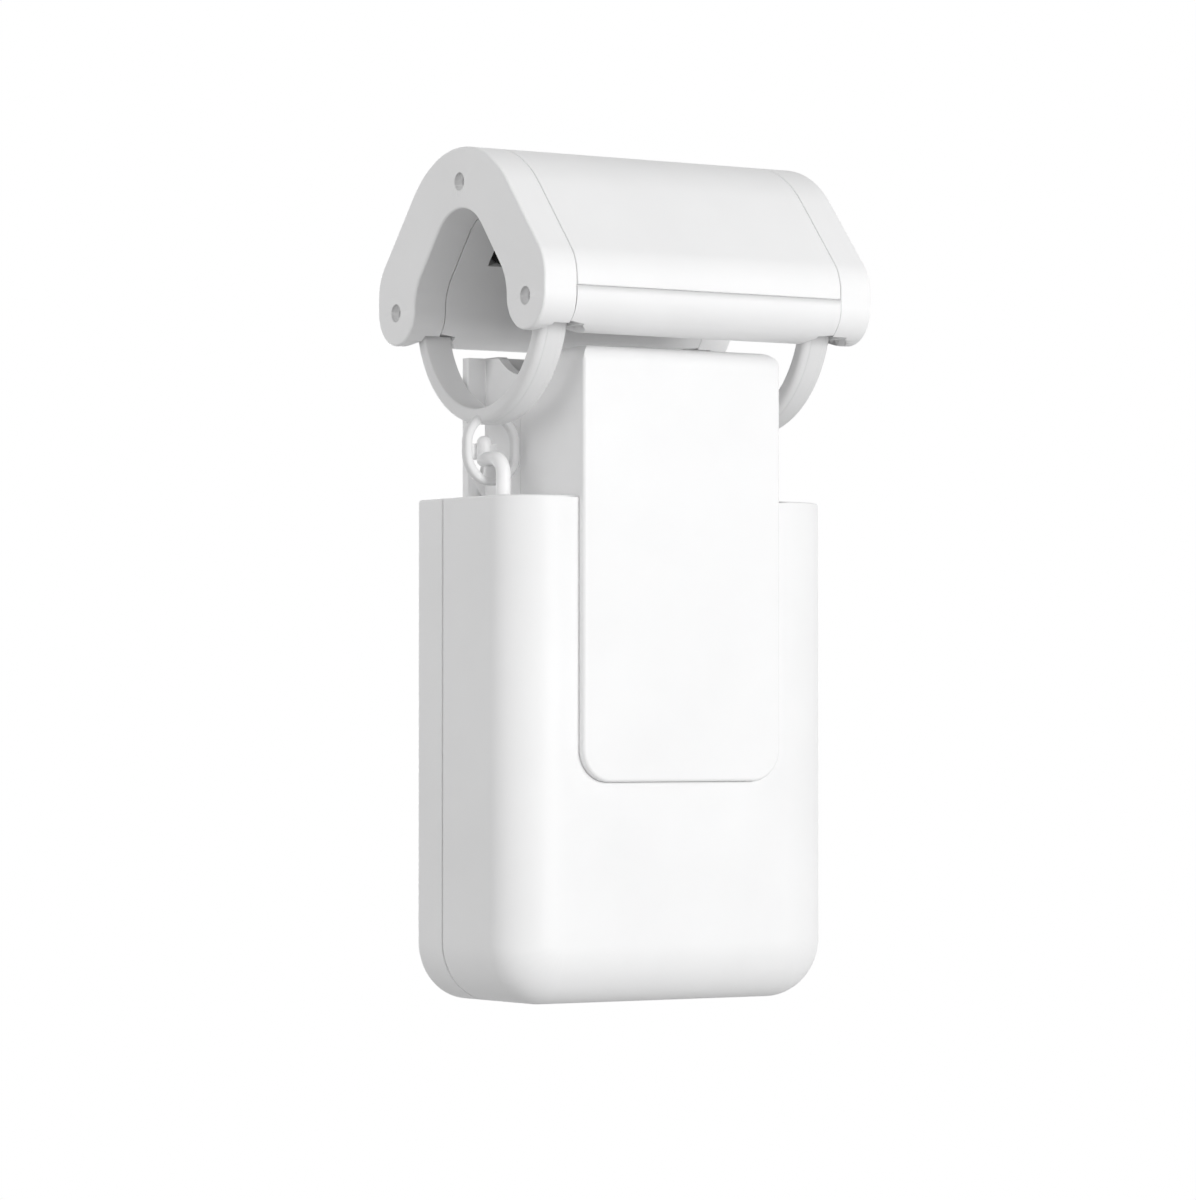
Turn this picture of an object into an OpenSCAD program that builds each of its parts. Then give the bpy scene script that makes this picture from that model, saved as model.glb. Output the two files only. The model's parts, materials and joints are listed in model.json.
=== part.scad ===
/* [Rod] */
// Diameter of the bore that the saddle and the wheel close round
rod_d = 25; // [23:0.5:26]
// Running gap between the bore and each wheel
rod_gap = 0.1; // [0.05:0.05:0.3]
// Clear gap between the bore and the neck's side walls
rod_clear = 1; // [0.5:0.25:2]

/* [Saddle] */
// Length of the saddle along the bore
saddle_l = 72.6; // [68:0.2:80]
// Thickness of each end cap
cap_t = 7; // [6:0.25:8]
// Height of the crown's centre over the bore axis
crown_z = 6.2; // [5.5:0.1:7]
// Radius of the crown
crown_r = 22; // [21.5:0.25:23]
// Distance of the shoulder's centre from the bore axis
shoulder_y = 21; // [20.5:0.25:21.5]
// Height of the shoulder's centre
shoulder_z = 2.4; // [2:0.1:3]
// Radius of the shoulder
shoulder_r = 8.5; // [8:0.25:9]
// Distance of each leg's centre from the bore axis
leg_y = 22.9; // [22.5:0.1:23.5]
// Height of the legs' centres
leg_z = -0.6; // [-1:0.1:-0.2]
// Radius of the legs' round feet
leg_r = 6.6; // [6.2:0.1:7]
// Height of the arch over the bore axis
arch_z = 16.8; // [16.2:0.1:17.5]
// Radius at the top of the arch
arch_r = 9.8; // [9:0.1:10.5]
// Radius where the arch turns down into the legs
arch_side_r = 9.2; // [8.5:0.1:9.8]
// Height of the seam between cover and frame
cover_seam_z = 0.8; // [0.2:0.1:1.5]
// Wall of the cover
cover_wall = 2; // [1.6:0.1:2.4]

/* [Cap screws] */
// Height of the top screw over the bore axis
top_screw_z = 21.8; // [21:0.1:22.5]
// Height of the leg screws, which are also the straps' pins
pin_z = -1; // [-1.4:0.1:-0.6]
// Diameter of the screw recess
recess_d = 3.4; // [3:0.1:3.8]
// Depth of the screw recess down to the head
recess_depth = 1.5; // [1:0.1:1.8]
// Diameter of the screw shank
shank_d = 2.2; // [2:0.1:2.4]
// Height of the screw head
head_h = 1.2; // [1:0.1:1.4]
// Length of the screw under its head
shank_l = 13; // [11:0.5:15]

/* [Idler rollers] */
// Angle of each roller from the top of the bore
roller_angle = 40; // [36:1:44]
// Diameter of a roller
roller_d = 10; // [9:0.25:10.5]
// Width of a roller
roller_w = 8; // [7:0.25:9]
// Thickness of a roller's rubber
roller_rubber = 1.6; // [1.2:0.1:2]
// Distance of the rollers from the middle of the saddle
roller_x = 17; // [12:0.5:19]
// Diameter of a roller's axle
roller_axle_d = 2.4; // [2:0.1:2.8]
// Length of a roller's axle
roller_axle_l = 14; // [12:0.5:15]

/* [Straps] */
// Inner radius of the straps
strap_r = 20; // [19.5:0.25:20.5]
// Thickness of the straps
strap_t = 3; // [2.4:0.1:3.2]
// Width of the straps
strap_w = 6; // [5:0.25:6.5]
// Radius of the eye and of the fork round the pins
eye_r = 3.3; // [3:0.1:3.5]
// Width of the fine rib left and right on a strap's outer face
strap_rim = 1; // [0.6:0.1:1.4]
// Depth of the band between the ribs
strap_band = 0.3; // [0.2:0.05:0.4]
// Steepest angle to which the slot lets a strap swing out, from level
slot_angle = 25; // [20:1:28]
// Length of the slot's mouth along the bore
slot_mouth_l = 10.2; // [9:0.2:11]
// Depth of the slot's mouth
slot_mouth_h = 1.3; // [1:0.1:1.6]

/* [Eyelets] */
// Depth of the eyelet's lower centre under the strap's outer face
eyelet_drop = 5.3; // [4.8:0.1:5.6]
// Length of the eyelet's straight sides
eyelet_l = 1.8; // [1.4:0.1:2.2]
// Outer radius of the eyelet
eyelet_r = 5.7; // [5.5:0.1:6]
// Hole radius of the eyelet
eyelet_hole_r = 4.7; // [4.3:0.1:4.9]
// Thickness of the eyelet
eyelet_t = 1.2; // [1.1:0.1:1.6]
// Height of the hook's seat in the eyelet
seat_h = 2.2; // [1.8:0.1:2.4]
// Width of the hook's seat at its top
seat_top_w = 3.8; // [3:0.1:4.2]
// Width of the hook's seat at its foot
seat_foot_w = 5; // [4.4:0.1:5.6]

/* [Pull hooks] */
// Diameter of the hook's wire
hook_d = 2.75; // [2.4:0.05:3]
// How far the hooks stand outside the middle of the body's shoulders
hook_out = 1.1; // [0.8:0.1:1.4]
// Distance of the hook's stem in front of the eyelet
hook_front = 4.2; // [3.8:0.1:4.6]
// Centre-line radius of the hook's bend
hook_bend_r = 3; // [2.2:0.1:3.4]
// Reach of the hook's tip behind the eyelet
hook_reach = 2.6; // [2.3:0.1:3.5]
// Height of the hook's turned-up tip over its bar
hook_tip_h = 4.4; // [3.8:0.1:4.8]
// Width of the hook's end stop
stop_w = 6.4; // [5:0.2:7]
// Height of the hook's end stop
stop_h = 3; // [2.8:0.1:3.4]
// Thickness of the hook's end stop
stop_t = 1.2; // [1:0.1:1.6]
// Travel of the body on its hooks
hook_travel = 6; // [4:0.5:7]
// Length by which the hook springs stay open at the end of the travel
spring_spare = 2.6; // [2:0.1:3]
// Mean radius of the hook springs
spring_r = 2.5; // [2.4:0.05:2.7]
// Wire diameter of the hook springs
spring_wire = 0.8; // [0.6:0.05:0.9]
// Turns of the hook springs
spring_turns = 7; // [5:1:8]
// Height of the nut at the hook's foot
nut_h = 2; // [1.6:0.1:2.4]
// Radius of the nut at the hook's foot
nut_r = 3.3; // [3.1:0.1:3.5]

/* [Body] */
// Width of the body
body_w = 72.6; // [72:0.2:78]
// Height of the body
body_h = 93.3; // [93:0.3:105]
// Distance from the bore's underside to the top of the body
neck_h = 24.1; // [23.5:0.1:27]
// Front face of the body, in front of the bore axis
body_front = 18.6; // [18.4:0.1:21]
// Seam between the shells, behind the bore axis
body_seam = 6; // [5.5:0.1:6.2]
// Rear face of the body, behind the bore axis
body_rear = 15.3; // [15.2:0.1:17]
// Wall of the shells
wall = 1.8; // [1.6:0.1:1.9]
// Radius of the front edges
front_r = 8.7; // [7.5:0.1:9.5]
// Radius of the bottom corners
corner_r = 11; // [10:0.25:13]
// Radius of the rear edges
rear_r = 1.2; // [0.8:0.1:1.6]

/* [Front panel and neck] */
// Width of the front panel and of the neck
panel_w = 43.8; // [43:0.2:44.6]
// How far the panel stands out of the body
panel_proud = 1.6; // [1.2:0.1:2]
// How far the panel rises above the bore's underside
panel_rise = 3.6; // [3:0.1:4]
// Height of the panel
panel_h = 80.2; // [74:0.2:84]
// How far the neck's rear half stays below the panel's top
rear_step = 0.6; // [0.4:0.1:1]
// Thickness of the panel
panel_t = 2.6; // [2.2:0.1:2.8]
// Radius of the panel's front edges
panel_edge_r = 0.6; // [0.4:0.1:1]
// Radius of the panel's bottom corners
panel_foot_r = 6; // [4:0.25:8]
// Radius of the panel's top corners and top edge
panel_top_r = 3; // [2:0.25:3.4]
// Wall of the neck
neck_wall = 2; // [1.6:0.1:2.2]
// Seam between the neck's halves, behind the bore axis
neck_seam = 1.7; // [1:0.1:2.5]
// Depth of the neck inside the body
neck_foot = 9; // [7:0.5:9.5]
// How far the neck's rear cover stands out of the body
tongue_t = 0.9; // [0.7:0.1:1.2]
// Length of the rear cover's tongue on the back of the body
tongue_l = 28.9; // [20:0.1:32]
// Width of the neck's rear flange
flange_w = 51.6; // [50.8:0.2:51.8]
// Thickness of the neck's rear flange
flange_t = 2; // [1.6:0.1:2.2]
// Width of the post outside each flange window
window_post = 1; // [0.8:0.1:1.4]
// Least width of a flange window beside the neck
window_w = 2; // [1.6:0.1:2.4]
// How far the flange windows cut into the neck's rear corners
window_in = 1; // [0.6:0.1:1.2]
// Height of the flange windows
window_h = 12.3; // [10:0.1:13]
// Distance of the flange windows above the body
window_rise = 4.3; // [3.5:0.1:5]

/* [Drive wheel] */
// Radius of the wheel at the bottom of its groove
wheel_r = 13; // [12.6:0.1:13.2]
// Width of the wheel
wheel_w = 16; // [14:0.25:16.2]
// Thickness of the tyre at the bottom of its groove
tyre_t = 2.6; // [2:0.1:3]
// Diameter of the wheel's axle
wheel_axle_d = 5; // [4:0.1:5.4]
// Wall of the axle bushes
bush_wall = 1.5; // [1.2:0.1:1.8]
// Length of the front axle bush
bush_l = 4; // [3:0.25:4.5]

/* [Gears] */
// Module of the wheel stage
wheel_module = 0.8; // [0.76:0.01:0.82]
// Teeth of the wheel gear
wheel_teeth = 30; // [28:2:30]
// Teeth of the pinion on the compound gear
small_teeth = 12; // [12:1:13]
// Module of the motor stage
motor_module = 0.6; // [0.56:0.01:0.62]
// Teeth of the large compound gear
large_teeth = 40; // [38:2:40]
// Teeth of the motor pinion
pinion_teeth = 12; // [12:1:13]
// Thickness of the wheel gear
wheel_gear_t = 1.4; // [1.2:0.1:1.5]
// Thickness of the large compound gear
large_gear_t = 1.2; // [1:0.1:1.3]
// Backlash of both stages at the pitch circle
backlash = 0.14; // [0.1:0.01:0.2]
// Diameter of the compound gear's pin
gear_pin_d = 2.4; // [2:0.1:2.8]

/* [Motor] */
// Diameter of the motor
motor_d = 24; // [22:0.25:24.5]
// Length of the motor
motor_l = 23; // [20:0.25:23.4]
// Diameter of the motor shaft
motor_shaft_d = 2; // [1.6:0.1:2.2]
// Thickness of the motor bracket
bracket_t = 1.2; // [1:0.1:1.3]

/* [Battery] */
// Diameter of a battery cell
cell_d = 18.4; // [18:0.1:18.5]
// Length of a battery cell
cell_l = 65; // [60:0.5:65.5]
// Wall of the battery tray
tray_wall = 1.2; // [1:0.1:1.3]
// Distance of the cells' centres in front of the bore axis
cell_front = 4; // [3.6:0.1:4.4]

/* [Electronics] */
// Width of the circuit board
board_w = 62; // [56:1:64]
// Height of the circuit board
board_h = 40; // [34:1:44]
// Thickness of the circuit board
board_t = 1.6; // [1.2:0.1:1.6]
// Width of the charging socket
socket_w = 9; // [8.6:0.1:9.2]
// Height of the charging socket
socket_t = 3.2; // [3:0.1:3.3]
// Length of the charging socket
socket_l = 7.4; // [6.8:0.1:8]
// Diameter of the set button
button_d = 5; // [4:0.1:5.4]
// Travel of the set button
button_travel = 0.6; // [0.4:0.1:0.8]
// Distance of the set button and the light from the middle
button_x = 22; // [18:0.5:24]
// Diameter of the light pipe
light_d = 2.6; // [2:0.1:3]

/* [Clearances] */
// Radial running clearance of a shaft in its bore
run_gap = 0.05; // [0.02:0.01:0.1]
// Clearance of a piece in its seat
seat_gap = 0.1; // [0.05:0.05:0.2]
// Visible gap between neighbouring covers
seam_gap = 0.08; // [0.05:0.01:0.2]
// Clearance beside a swinging or sliding piece
swing_gap = 0.3; // [0.2:0.05:0.4]

/* [Hidden] */
$fn = 64;
cut = 1;

rod_r = rod_d / 2;
cap_x = saddle_l / 2;
seam_x = cap_x - cap_t;
strap_x = seam_x;
pin_y = leg_y;
arch_centre_z = arch_z - arch_r;
arch_side_y = leg_y - leg_r - arch_side_r;

outer_circles = [
    [-leg_y, leg_z, leg_r], [leg_y, leg_z, leg_r],
    [shoulder_y, shoulder_z, shoulder_r], [0, crown_z, crown_r], [-shoulder_y, shoulder_z, shoulder_r]
];
arch_circles = [
    [-arch_side_y, leg_z, arch_side_r], [arch_side_y, leg_z, arch_side_r], [0, arch_centre_z, arch_r]
];

roller_r = roller_d / 2;
roller_reach = rod_r + rod_gap + roller_r;
ROLLERS = ["front_left", "front_right", "rear_left", "rear_right"];

body_z1 = -rod_r - neck_h;
body_half = body_w / 2;
panel_half = panel_w / 2;
roof_z = body_z1 - wall;

hook_x = (panel_half + body_half - wall) / 2 + hook_out;
eyelet_z = -(strap_r + strap_t + eyelet_drop);
hook_r = hook_d / 2;
seat_z = eyelet_z - eyelet_hole_r + seat_h;
hook_z = seat_z + hook_r + seat_gap;
hook_y = -hook_front;
spring_l = (spring_turns + 1) * spring_wire + hook_travel + spring_spare;
spring_z1 = roof_z - seat_gap;
spring_z0 = spring_z1 - spring_l;
nut_z0 = spring_z0 - seat_gap - nut_h;

panel_y = -body_front - panel_proud;
panel_back = panel_y + panel_t;
panel_z1 = -rod_r + panel_rise;
panel_z0 = panel_z1 - panel_h;
neck_in = panel_half - neck_wall;
neck_z0 = body_z1 - neck_foot;
neck_back = body_rear + tongue_t;
rear_top_z = panel_z1 - rear_step;
flange_half = max(flange_w / 2, panel_half + window_w + window_post);
frame_back = body_rear - wall - seat_gap;
frame_t = 1.4;
frame_front = frame_back - frame_t;

wheel_z = -(rod_r + rod_gap + wheel_r);
wheel_half = wheel_w / 2;
axle_r = wheel_axle_d / 2;
bush_r = axle_r + run_gap + bush_wall;
hub_r = wheel_r - tyre_t;
bush_gap = 1.5;
bush_y1 = -wheel_half - bush_gap;
bush_back = neck_back - neck_wall / 2 - seat_gap;

stage_gap = 0.3;
pinion_gap = 0.15;
hub_boss = 2.4;
pin_collar = 1;
wheel_gear_y = wheel_half + stage_gap;
large_y1 = frame_front - 2 * stage_gap;
large_y0 = large_y1 - large_gear_t;
small_y0 = wheel_gear_y - pinion_gap;
pressure = 25;
addendum = 0.9;
dedendum = 1.2;
wheel_pitch = wheel_module * wheel_teeth / 2;
small_pitch = wheel_module * small_teeth / 2;
large_pitch = motor_module * large_teeth / 2;
pinion_pitch = motor_module * pinion_teeth / 2;
compound_z = wheel_z - wheel_pitch - small_pitch;
motor_z = compound_z - large_pitch - pinion_pitch;
gear_pin_r = gear_pin_d / 2;

motor_r = motor_d / 2;
motor_gap = 0.5;
motor_y1 = wheel_gear_y - pinion_gap - motor_gap;
motor_y0 = motor_y1 - motor_l;
motor_boss_r = 3.2;
motor_boss_h = 1;
bracket_wing = 3.5;
bracket_r = 3;
bracket_foot = 2;
bracket_gap = 1.6;
bracket_half = motor_r + bracket_wing;
bracket_z1 = compound_z - small_pitch - bracket_gap;
bracket_z0 = motor_z - motor_r - bracket_foot;
post_r = 1.8;
post_in = 2;

cell_r = cell_d / 2;
tray_gap = 0.2;
tray_r = cell_r + tray_gap + tray_wall;
cell_x = body_half - wall - tray_gap - tray_r;
cell_y = -cell_front;
corner_x = body_half - corner_r;
corner_in = corner_r - wall - tray_gap;
cell_foot = corner_r - sqrt(pow(corner_in, 2) - pow(cell_x + cell_r - corner_x, 2)) + tray_gap;
nut_room = 1;
stack_h = body_z1 - nut_z0 + nut_room + tray_wall + tray_gap + cell_l + cell_foot;
body_z0 = body_z1 - max(body_h, stack_h);
cell_z0 = body_z0 + cell_foot;
tray_z0 = cell_z0 - tray_gap - tray_wall;
cell_z1 = cell_z0 + cell_l;
tray_z1 = cell_z1 + tray_gap + tray_wall;

board_gap = 1.4;
board_y1 = body_rear - wall - board_gap;
board_y0 = board_y1 - board_t;
board_drop = 3;
board_z1 = bracket_z0 - board_drop;
board_z0 = board_z1 - board_h;
board_tab = 6;
standoff_in = 4;
standoff_r = 2;
standoff_hole_r = 1.1;
standoff_x = board_w / 2 - standoff_in;
socket_y1 = board_y0;
socket_y = socket_y1 - socket_t / 2;
button_r = button_d / 2;
button_stem_r = 1.4;
button_sunk = 0.2;
button_flange = 0.9;
button_rim = 0.8;
can_w = 15;
can_t = 2.4;
can_h = 18;
can_drop = 4;
switch_w = 6;
switch_t = 3.4;
switch_h = 3;
light_r = light_d / 2;

boss_r = 3;
boss_sunk = 0.8;
boss_drop = 1.6;
boss_lift = 2.8;
top_boss_x = body_half - wall - boss_r + boss_sunk;
top_boss_z = body_z1 - wall - boss_r - boss_drop;
foot_boss_x = 9.5;
foot_boss_z = body_z0 + wall + boss_r + boss_lift;
boss_front = 0.4;
shell_screw_r = 1.1;
shell_head_r = 2.1;
shell_head_h = 1.4;
shell_screw_l = 9;

SCREW_PLACES = [
    [top_boss_x, top_boss_z], [-top_boss_x, top_boss_z],
    [foot_boss_x, foot_boss_z], [-foot_boss_x, foot_boss_z]
];

// Outward direction of the line that touches two circles on their right-hand side
function touch_side(a, b) =
    let(run = [b[0] - a[0], b[1] - a[1]], u = run / norm(run), s = (a[2] - b[2]) / norm(run))
    u * s + [u[1], -u[0]] * sqrt(1 - s * s);

// Closed outline round circles [x, y, radius] given anticlockwise; a radius of 0 is a corner
module outline(circles) {
    last = len(circles) - 1;
    for (c = circles)
        if (c[2] > 0)
            translate([c[0], c[1]]) circle(c[2]);
    polygon([
        for (i = [0 : last])
            let(a = circles[i], b = circles[i == last ? 0 : i + 1], side = touch_side(a, b))
            for (c = [a, b])
                [c[0], c[1]] + side * c[2]
    ]);
}

// Extrudes a drawing of the YZ plane along X
module along_x(x0, x1) {
    translate([x0, 0, 0])
        rotate([90, 0, 90])
            linear_extrude(x1 - x0)
                children();
}

// Extrudes a drawing of the XZ plane along Y
module along_y(y0, y1) {
    translate([0, y1, 0])
        rotate([90, 0, 0])
            linear_extrude(y1 - y0)
                children();
}

// Round bar or hole along Y at x, z
module bar_y(x, z, y0, y1, r) {
    translate([x, y1, z])
        rotate([90, 0, 0])
            cylinder(h = y1 - y0, r = r);
}

// Round bar or hole along X at y, z
module bar_x(y, z, x0, x1, r) {
    translate([x0, y, z])
        rotate([0, 90, 0])
            cylinder(h = x1 - x0, r = r);
}

// Revolves a drawing of radius and Y about a line along Y at height z
module turn_y(z) {
    translate([0, 0, z])
        rotate([-90, 0, 0])
            rotate_extrude()
                children();
}

module box(x0, x1, y0, y1, z0, z1) {
    translate([x0, y0, z0])
        cube([x1 - x0, y1 - y0, z1 - z0]);
}

module both_sides() {
    children();
    mirror([1, 0, 0]) children();
}

// Saddle

module saddle_arch() {
    outline(arch_circles);
    translate([-leg_y + leg_r, leg_z - 2 * leg_r]) square([2 * (leg_y - leg_r), 2 * leg_r]);
}

module saddle_profile() {
    difference() {
        outline(outer_circles);
        saddle_arch();
        translate([-2 * leg_y, leg_z - 2 * crown_r]) square([4 * leg_y, 2 * crown_r]);
    }
    for (side = [-1, 1])
        translate([side * leg_y, leg_z]) circle(leg_r);
}

// Inside of the cover, one wall in from the saddle's outside
module cover_inside(gap) {
    outline([for (c = outer_circles) [c[0], c[1], c[2] - cover_wall - gap]]);
}

module above_seam(gap) {
    translate([-2 * leg_y, cover_seam_z + gap]) square([4 * leg_y, 3 * crown_r]);
}

// Room for a strap's end in a leg, with its mouth; the rear one lets the strap swing out
module strap_slot(side) {
    room = eye_r + 2 * swing_gap;
    reach = 2 * leg_r;
    inner_y = pin_y - sqrt(pow(strap_r, 2) - pow(leg_r - leg_z, 2)) + swing_gap;
    x0 = strap_x - strap_w / 2 - swing_gap;
    x1 = strap_x + strap_w / 2 + swing_gap;
    along_x(x0, x1) {
        translate([side * pin_y, pin_z]) circle(room);
        translate([side * pin_y - room, pin_z - reach]) square([2 * room, reach]);
        polygon([
            [side * pin_y, pin_z], [side * (pin_y - inner_y), pin_z],
            [side * (pin_y - inner_y), pin_z - reach], [side * pin_y, pin_z - reach]
        ]);
        if (side > 0)
            polygon([
                [pin_y, pin_z], [pin_y, pin_z - reach], [pin_y + reach, pin_z - reach],
                [pin_y + reach * cos(slot_angle), pin_z - reach * sin(slot_angle)]
            ]);
    }
    translate([strap_x, side * pin_y, leg_z - leg_r - cut])
        linear_extrude(slot_mouth_h + cut)
            outline([for (end = [-1, 1]) [end * (slot_mouth_l / 2 - room), 0, room]]);
}

module screw_places() {
    for (p = [[0, top_screw_z], [-pin_y, pin_z], [pin_y, pin_z]])
        translate([0, p[0], p[1]]) children();
}

module at_roller(i) {
    end = i % 2 == 0 ? -1 : 1;
    side = i < 2 ? -1 : 1;
    translate([end * roller_x, 0, 0])
        rotate([-side * roller_angle, 0, 0])
            translate([0, 0, roller_reach])
                children();
}

// Room round a roller, open towards the bore, with the seats of its axle
module roller_pocket() {
    half_w = roller_w / 2 + swing_gap;
    seat_half = roller_axle_l / 2 + seat_gap;
    r = roller_r + 2 * swing_gap;
    bar_y(0, 0, -half_w, half_w, r);
    box(-r, r, -half_w, half_w, -2 * roller_r, 0);
    bar_y(0, 0, -seat_half, seat_half, roller_axle_d / 2 + seat_gap / 4);
}

module saddle_frame() {
    color("gainsboro") difference() {
        along_x(-seam_x + seat_gap / 2, seam_x - seat_gap / 2) {
            difference() {
                saddle_profile();
                above_seam(0);
            }
            intersection() {
                saddle_profile();
                cover_inside(seat_gap);
                above_seam(-cut);
            }
        }
        for (i = [0 : 3])
            at_roller(i) roller_pocket();
        both_sides() {
            strap_slot(-1);
            strap_slot(1);
            screw_places() bar_x(0, 0, seam_x - shank_l, seam_x + cut, shank_d / 2 + run_gap);
        }
    }
}

module saddle_cover() {
    color("white") along_x(-seam_x + seat_gap / 2, seam_x - seat_gap / 2)
        difference() {
            intersection() {
                outline(outer_circles);
                above_seam(seat_gap);
            }
            cover_inside(0);
        }
}

module end_cap() {
    color("white") difference() {
        along_x(seam_x + seat_gap / 2, cap_x) saddle_profile();
        strap_slot(-1);
        strap_slot(1);
        screw_places() {
            bar_x(0, 0, seam_x - cut, cap_x + cut, shank_d / 2 + run_gap);
            bar_x(0, 0, cap_x - recess_depth - head_h, cap_x + cut, recess_d / 2);
        }
    }
}

module end_cap_left() mirror([1, 0, 0]) end_cap();

module end_cap_right() end_cap();

module cap_screws() {
    head_x = cap_x - recess_depth - head_h + seat_gap / 2;
    color("silver") both_sides() screw_places() {
        difference() {
            bar_x(0, 0, head_x, head_x + head_h - seat_gap / 2, recess_d / 2 - seat_gap);
            bar_x(0, 0, head_x + head_h / 2, head_x + head_h + cut, shank_d / 4);
        }
        bar_x(0, 0, head_x - shank_l, head_x, shank_d / 2);
    }
}

// Idler rollers

module roller_axles() {
    color("silver") for (i = [0 : 3])
        at_roller(i) rotate([90, 0, 0])
            cylinder(h = roller_axle_l, d = roller_axle_d, center = true);
}

module idler_hub(i) {
    color("dimgray") at_roller(i) rotate([90, 0, 0]) difference() {
        cylinder(h = roller_w, r = roller_r - roller_rubber, center = true);
        cylinder(h = roller_w + cut, r = roller_axle_d / 2 + run_gap, center = true);
    }
}

module idler_tyre(i) {
    color("black") at_roller(i) rotate([90, 0, 0]) difference() {
        cylinder(h = roller_w - 2 * seat_gap, r = roller_r, center = true);
        cylinder(h = roller_w + cut, r = roller_r - roller_rubber + seat_gap / 5, center = true);
    }
}

// Straps and hooks

module strap_band_profile(r_in, r_out) {
    difference() {
        circle(r_out);
        circle(r_in);
        translate([-2 * r_out, pin_z]) square([4 * r_out, 2 * r_out]);
    }
}

// Long ring under a strap, with a seat for the hook
module eyelet() {
    foot_z = eyelet_z - (eyelet_r + eyelet_hole_r) / 2;
    translate([hook_x, 0, 0])
        along_y(-eyelet_t / 2, eyelet_t / 2) {
            difference() {
                eyelet_outline(eyelet_r);
                eyelet_outline(eyelet_hole_r);
            }
            polygon([
                [-seat_foot_w / 2, foot_z], [seat_foot_w / 2, foot_z],
                [seat_top_w / 2, seat_z], [-seat_top_w / 2, seat_z]
            ]);
        }
}

module eyelet_outline(r) {
    outline([for (rise = [0, eyelet_l]) [0, eyelet_z + rise, r]]);
}

module strap() {
    strap_out = strap_r + strap_t;
    slip_r = shank_d / 2 + run_gap;
    fork_r = slip_r + swing_gap / 2;
    x0 = strap_x - strap_w / 2;
    x1 = strap_x + strap_w / 2;
    color("white") difference() {
        union() {
            along_x(x0, x1) strap_band_profile(strap_r, strap_out - strap_band);
            along_x(x0 + strap_rim, x1 - strap_rim) strap_band_profile(strap_r + cut, strap_out);
            along_x(x0, x1)
                for (side = [-1, 1])
                    translate([side * pin_y, pin_z]) circle(eye_r);
            eyelet();
        }
        bar_x(pin_y, pin_z, x0 - cut, x1 + cut, slip_r);
        bar_x(-pin_y, pin_z, x0 - cut, x1 + cut, fork_r);
        box(x0 - cut, x1 + cut, -pin_y - fork_r, -pin_y + fork_r, pin_z, pin_z + 2 * eye_r);
        box(0, panel_half + swing_gap, -eyelet_t, eyelet_t, eyelet_z - 2 * eyelet_r, eyelet_z + eyelet_r);
    }
}

module strap_left() mirror([1, 0, 0]) strap();

module strap_right() strap();

module pull_hook() {
    tip_y = hook_front + hook_reach;
    stop_y = tip_y + hook_r - stop_t / 2;
    color("white") translate([hook_x, hook_y, 0]) {
        translate([0, 0, nut_z0])
            cylinder(h = hook_z - hook_bend_r - nut_z0, r = hook_r);
        translate([0, hook_bend_r, hook_z - hook_bend_r])
            rotate([0, -90, 180])
                rotate_extrude(angle = 90)
                    translate([hook_bend_r, 0]) circle(hook_r);
        bar_y(0, hook_z, hook_bend_r, tip_y, hook_r);
        translate([0, tip_y, hook_z]) {
            sphere(hook_r);
            cylinder(h = hook_tip_h - hook_r, r = hook_r);
            translate([0, 0, hook_tip_h - hook_r]) sphere(hook_r);
        }
        box(-stop_w / 2, stop_w / 2, stop_y, stop_y + stop_t, hook_z, hook_z + stop_h);
    }
}

module pull_hook_left() mirror([1, 0, 0]) pull_hook();

module pull_hook_right() pull_hook();

// One unbroken wire; each ring of points is square to the helix
module hook_spring() {
    ring = 6;
    per_turn = 8;
    steps = spring_turns * per_turn;
    pitch = (spring_l - spring_wire) / spring_turns;
    rise = pitch / per_turn;
    climb = atan2(pitch, 2 * PI * spring_r);
    points = [
        for (i = [0 : steps])
            let(a = 360 * i / per_turn)
            let(out = [cos(a), sin(a), 0])
            let(up = [sin(a) * sin(climb), -cos(a) * sin(climb), cos(climb)])
            for (k = [0 : ring - 1])
                let(b = 360 * k / ring)
                out * spring_r + [0, 0, spring_z0 + spring_wire / 2 + i * rise]
                    + (out * cos(b) + up * sin(b)) * spring_wire / 2
    ];
    sides = [
        for (i = [0 : steps - 1], k = [0 : ring - 1])
            let(a = i * ring + k, b = i * ring + (k + 1) % ring)
            for (f = [[a, b, b + ring], [a, b + ring, a + ring]]) f
    ];
    ends = [
        for (k = [1 : ring - 2])
            for (f = [[0, k + 1, k], [0, k, k + 1] + steps * ring * [1, 1, 1]]) f
    ];
    echo("hook spring gap between turns", pitch * cos(climb) - spring_wire);
    color("silver") translate([hook_x, hook_y, 0])
        polyhedron(points, concat(sides, ends));
}

module hook_spring_left() mirror([1, 0, 0]) hook_spring();

module hook_spring_right() hook_spring();

module hook_nuts() {
    color("silver") both_sides() translate([hook_x, hook_y, nut_z0])
        difference() {
            cylinder(h = nut_h, r = nut_r);
            translate([0, 0, -cut]) cylinder(h = nut_h + 2 * cut, r = hook_r + seat_gap / 4);
        }
}

// Body

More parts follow.
